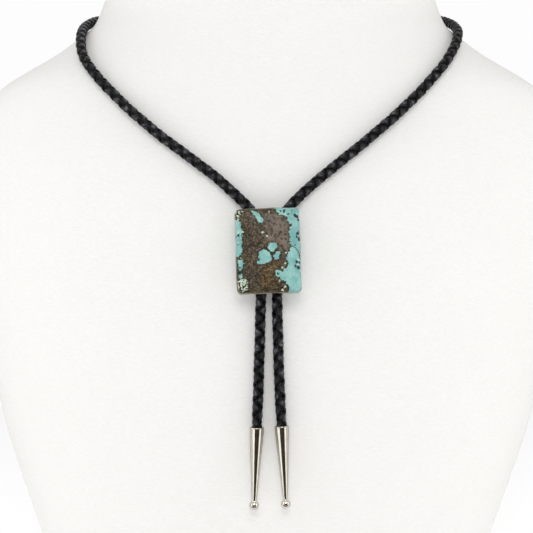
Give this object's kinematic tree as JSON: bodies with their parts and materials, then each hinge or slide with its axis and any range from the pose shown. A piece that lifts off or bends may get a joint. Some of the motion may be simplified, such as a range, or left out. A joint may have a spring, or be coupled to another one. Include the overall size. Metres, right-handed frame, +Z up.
{
  "type": "bolo tie on neck bust",
  "caption": "Bolo tie of braided leather cord with a turquoise stone slide and long metal tips, worn on a plain white neck bust.",
  "frame": {"origin": "middle of the neck bust's flat base, on the surface it stands on", "axes": "+X to the viewer's right, +Y away from the viewer towards the bust's back, +Z up"},
  "size_m": [0.2828, 0.1744, 0.352],
  "materials": {
    "white_leatherette": "matte white leatherette with a fine streaky grain",
    "braided_leather": "black braided leather with a soft gloss",
    "clip_metal": "plain satin white metal",
    "turquoise_stone": "polished turquoise stone with brown matrix",
    "tip_metal": "polished silver-coloured metal"
  },
  "bodies": {
    "root": {"neck_bust": "white_leatherette", "bolo_cord": "braided_leather", "slide_clip": "clip_metal", "slide_stone": "turquoise_stone", "tip_left": "tip_metal", "tip_right": "tip_metal"}
  },
  "joints": []
}
